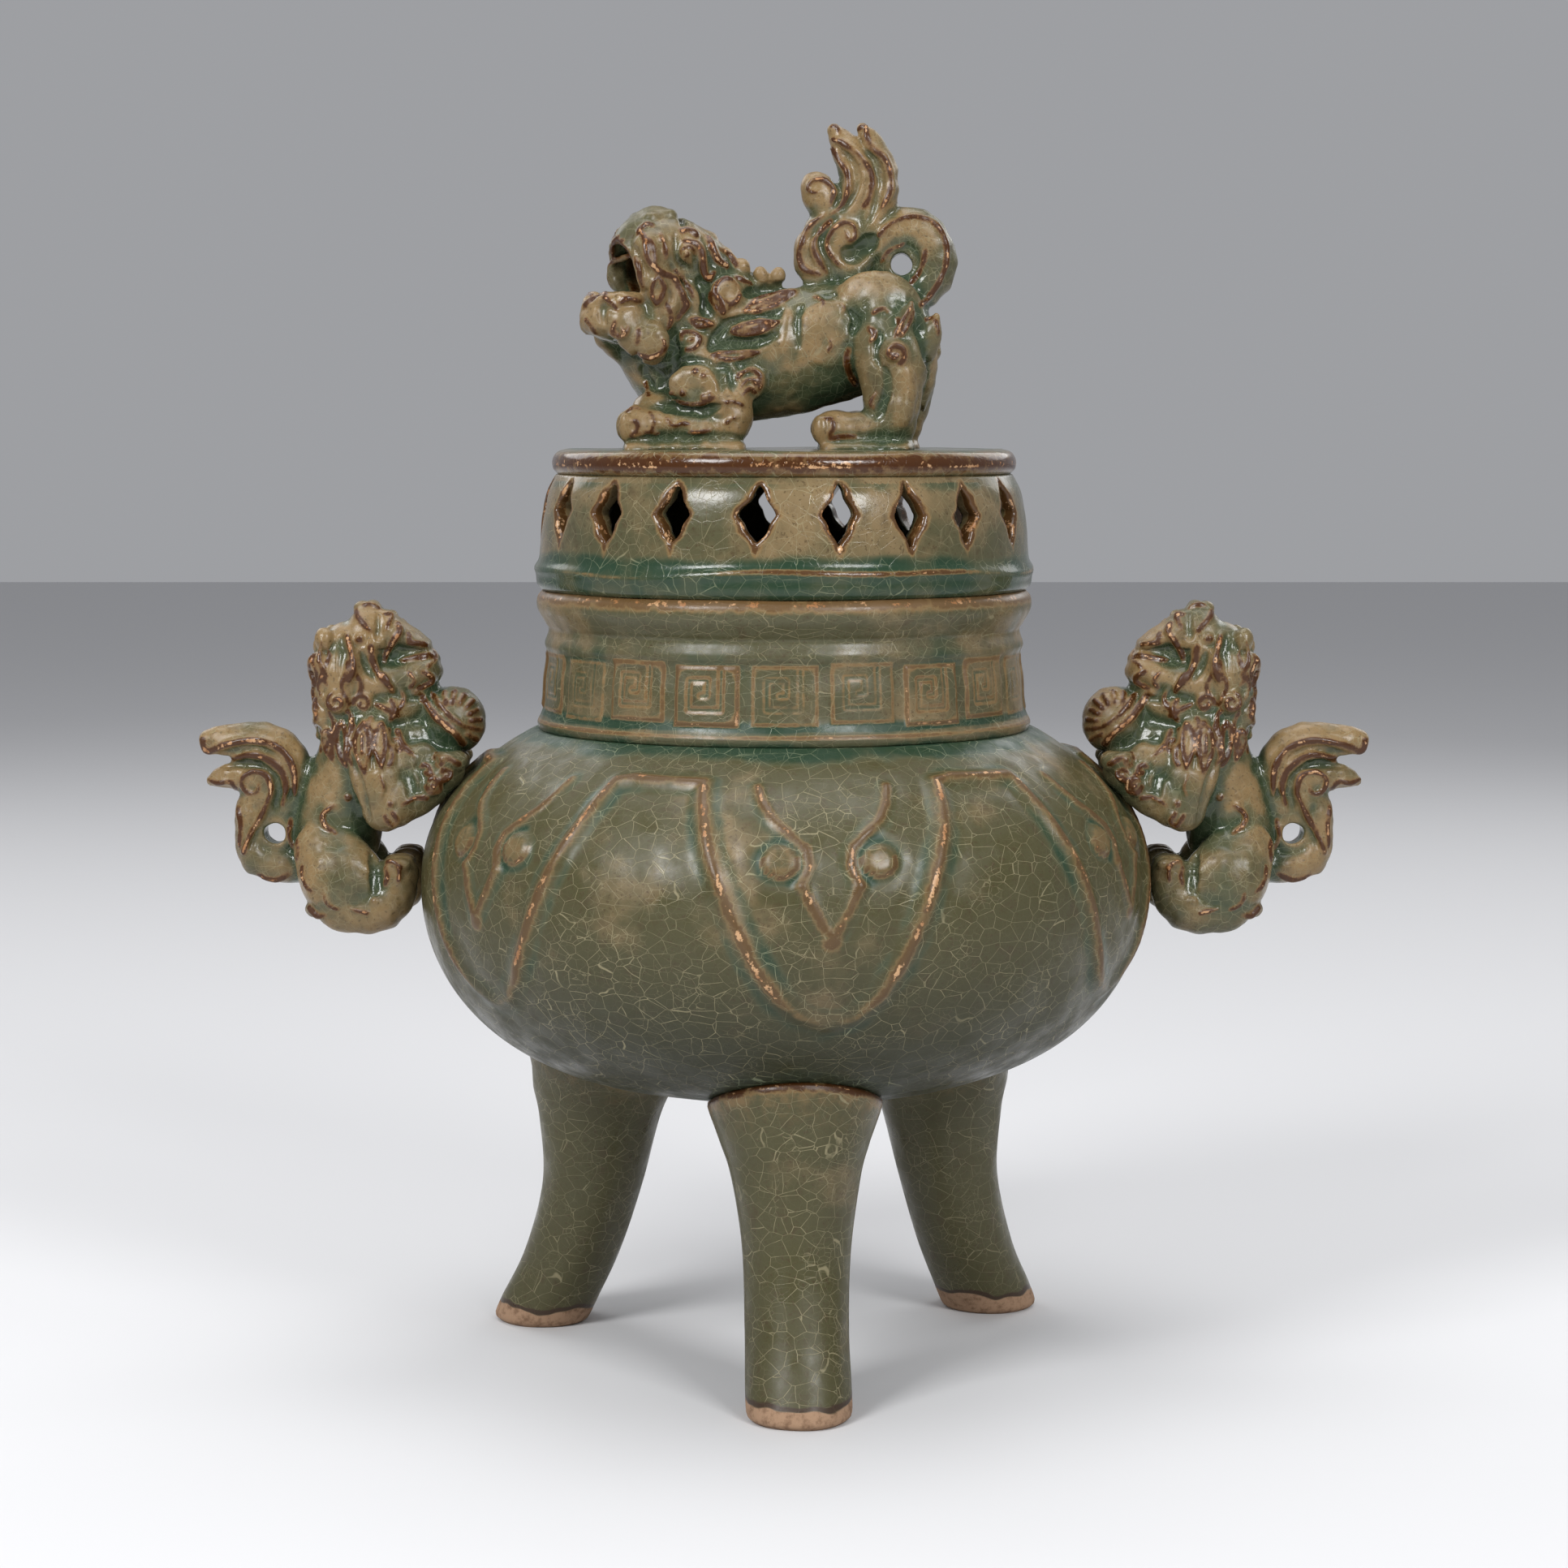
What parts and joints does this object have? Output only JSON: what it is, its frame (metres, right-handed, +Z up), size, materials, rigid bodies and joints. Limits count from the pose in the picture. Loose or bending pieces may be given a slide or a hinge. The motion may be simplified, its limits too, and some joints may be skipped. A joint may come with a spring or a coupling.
{
  "type": "tripod incense burner",
  "caption": "Celadon tripod incense burner with lion handles on the shoulder and a pierced lift-off lid carrying a crouching lion; burns incense and lets smoke out through the vents.",
  "frame": {"origin": "centre of the bounding box on the floor, which is the vessel's axis between the feet", "axes": "+Z up along the vessel's axis, -Y toward the front leg, lion handles on +X and -X, finial lion's head toward -X"},
  "size_m": [0.279, 0.174, 0.2926],
  "materials": {
    "bowl_glaze": "satin olive celadon with pale crackle",
    "neck_glaze": "satin olive celadon with pale crackle",
    "leg_glaze": "satin olive celadon with pale crackle",
    "lid_glaze": "glossy tan celadon with pale crackle",
    "lid_rim_glaze": "glossy brown where the glaze runs thin",
    "finial_glaze": "glossy tan celadon, brown on the edges",
    "lion_glaze": "glossy tan celadon, brown on the edges",
    "bare_clay": "unglazed fired clay"
  },
  "bodies": {
    "burner": {"bowl": "bowl_glaze", "neck": "neck_glaze", "front_leg": "leg_glaze", "right_leg": "leg_glaze", "left_leg": "leg_glaze", "left_lion_body": "lion_glaze", "left_lion_head": "lion_glaze", "left_lion_arms": "lion_glaze", "left_lion_hindlegs": "lion_glaze", "left_lion_tail": "lion_glaze", "left_lion_ball": "lion_glaze", "right_lion_body": "lion_glaze", "right_lion_head": "lion_glaze", "right_lion_arms": "lion_glaze", "right_lion_hindlegs": "lion_glaze", "right_lion_tail": "lion_glaze", "right_lion_ball": "lion_glaze"},
    "lid": {"lid_drum": "lid_glaze", "lid_deck": "lid_rim_glaze", "lid_flange": "bare_clay", "finial_body": "finial_glaze", "finial_head": "finial_glaze", "finial_near_foreleg": "finial_glaze", "finial_far_foreleg": "finial_glaze", "finial_near_hindleg": "finial_glaze", "finial_far_hindleg": "finial_glaze", "finial_tail": "finial_glaze"}
  },
  "joints": [
    {"name": "lid_lift", "type": "slide", "parent": "burner", "child": "lid", "axis": [0, 0, 1], "range_m": [0, 0.12]}
  ]
}
